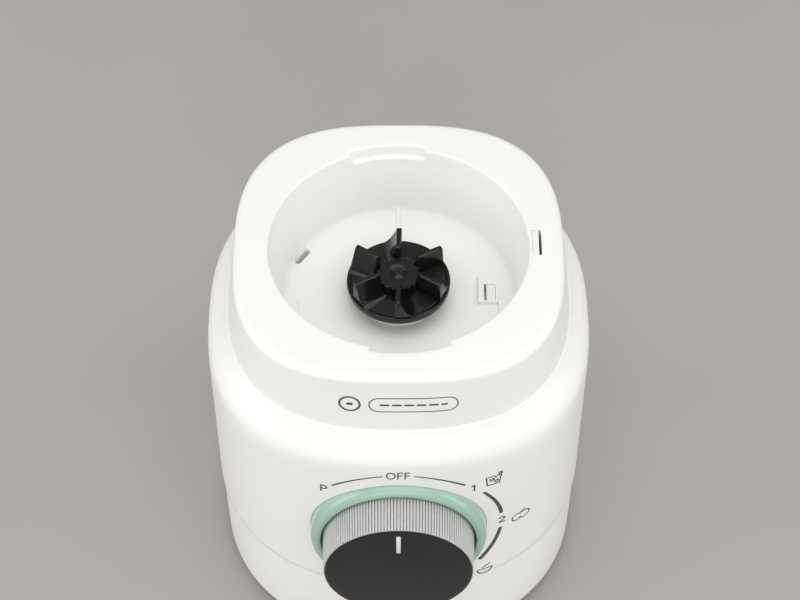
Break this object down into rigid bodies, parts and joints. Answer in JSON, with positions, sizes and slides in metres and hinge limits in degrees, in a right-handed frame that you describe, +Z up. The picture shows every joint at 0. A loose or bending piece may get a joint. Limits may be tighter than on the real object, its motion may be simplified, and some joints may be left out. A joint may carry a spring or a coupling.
{
  "type": "countertop blender motor base",
  "caption": "Motor base of a countertop blender: round jug seat with a finned drive coupling, two jug interlocks, and a clear ribbed speed knob in a green ring.",
  "frame": {"origin": "middle of the whole part's footprint, on the surface that the feet stand on", "axes": "+Z up along the motor axis, -Y towards the speed knob, +X to the right as seen from the front"},
  "size_m": [0.172, 0.194, 0.19],
  "materials": {
    "white_shell": "satin white",
    "green_ring": "glossy sage green",
    "clear_knob": "clear, ribbed",
    "knob_white": "white reflector",
    "knob_black": "glossy black",
    "coupling_black": "glossy black",
    "pin_grey": "satin light grey",
    "rubber_grey": "matte",
    "base_grey": "matte light grey",
    "switch_black": "matte black",
    "fan_grey": "matte dark grey",
    "steel": "zinc plated",
    "shaft_steel": "ground",
    "lamination": "varnished laminations",
    "copper": "enamelled copper wire",
    "brass": "plain",
    "bronze": "sintered bronze",
    "aluminium": "die cast",
    "carbon": "carbon",
    "ivory": "ivory",
    "yellow": "yellow case",
    "red_button": "red"
  },
  "bodies": {
    "base": {"jug_collar": "white_shell", "upper_housing": "white_shell", "lower_housing": "white_shell", "base_plate": "base_grey", "rubber_feet": "rubber_grey", "knob_bezel": "green_ring", "cord_gland": "rubber_grey", "shaft_seal": "rubber_grey", "collar_screws": "steel", "housing_screws": "steel", "bezel_screws": "steel", "stator_core": "lamination", "field_coils": "copper", "upper_bracket": "aluminium", "lower_bracket": "aluminium", "upper_bearing": "bronze", "lower_bearing": "bronze", "brush_holders": "brass", "carbon_brushes": "carbon", "brush_springs": "shaft_steel", "motor_through_screws": "steel", "motor_mounts": "rubber_grey", "mount_screws": "steel", "fan_shroud": "base_grey", "thermal_fuse": "ivory", "switch_body": "switch_black", "switch_nut": "steel", "terminal_block": "ivory", "suppressor_capacitor": "yellow", "interlock_bracket": "steel", "seat_microswitch": "switch_black", "rim_microswitch": "switch_black", "seat_spring": "shaft_steel", "rim_spring": "shaft_steel"},
    "rotor": {"motor_shaft": "shaft_steel", "rotor_core": "lamination", "rotor_windings": "copper", "commutator": "copper", "cooling_fan": "fan_grey", "slinger_washer": "steel", "coupling_insert": "brass", "drive_coupling": "coupling_black"},
    "knob": {"knob_shell": "clear_knob", "knob_core": "knob_white", "knob_face": "knob_black", "knob_pointer": "knob_white", "switch_shaft": "shaft_steel"},
    "seat_pin_body": {"seat_pin": "pin_grey"},
    "seat_lever_body": {"seat_lever": "steel"},
    "seat_button_body": {"seat_button": "red_button"},
    "rim_pin_body": {"rim_pin": "pin_grey"},
    "rim_lever_body": {"rim_lever": "steel"},
    "rim_button_body": {"rim_button": "red_button"}
  },
  "joints": [
    {"name": "rotor_spin", "type": "hinge", "parent": "base", "child": "rotor", "pos_m": [0, 0.0095, 0.1], "axis": [0, 0, 1], "continuous": true},
    {"name": "knob_turn", "type": "hinge", "parent": "base", "child": "knob", "pos_m": [0, -0.08, 0.0916], "axis": [0, 1, 0], "range_deg": [-45, 135]},
    {"name": "seat_pin_slide", "type": "slide", "parent": "base", "child": "seat_pin_body", "axis": [0, 0, -1], "range_m": [0, 0.003], "stiffness_N_per_m": 300, "springref_m": -0.002, "deforming": ["seat_spring"]},
    {"name": "seat_lever_hinge", "type": "hinge", "parent": "base", "child": "seat_lever_body", "pos_m": [0.0603, 0.01025, 0.1365], "axis": [0, -1, 0], "range_deg": [0, 8.6]},
    {"name": "seat_button_slide", "type": "slide", "parent": "base", "child": "seat_button_body", "axis": [0, 0, -1], "range_m": [0, 0.0008]},
    {"name": "rim_pin_slide", "type": "slide", "parent": "base", "child": "rim_pin_body", "axis": [0, 0, -1], "range_m": [0, 0.003], "stiffness_N_per_m": 300, "springref_m": -0.002, "deforming": ["rim_spring"]},
    {"name": "rim_lever_hinge", "type": "hinge", "parent": "base", "child": "rim_lever_body", "pos_m": [0.0604, 0.0362, 0.1365], "axis": [1, 0, 0], "range_deg": [0, 8.6]},
    {"name": "rim_button_slide", "type": "slide", "parent": "base", "child": "rim_button_body", "axis": [0, 0, -1], "range_m": [0, 0.0008]}
  ],
  "couplings": [
    {"joint": "seat_lever_hinge", "follows": "seat_pin_slide", "rad_per_m": 50},
    {"joint": "seat_button_slide", "follows": "seat_pin_slide", "ratio": 0.26666},
    {"joint": "rim_lever_hinge", "follows": "rim_pin_slide", "rad_per_m": 50},
    {"joint": "rim_button_slide", "follows": "rim_pin_slide", "ratio": 0.26666}
  ]
}
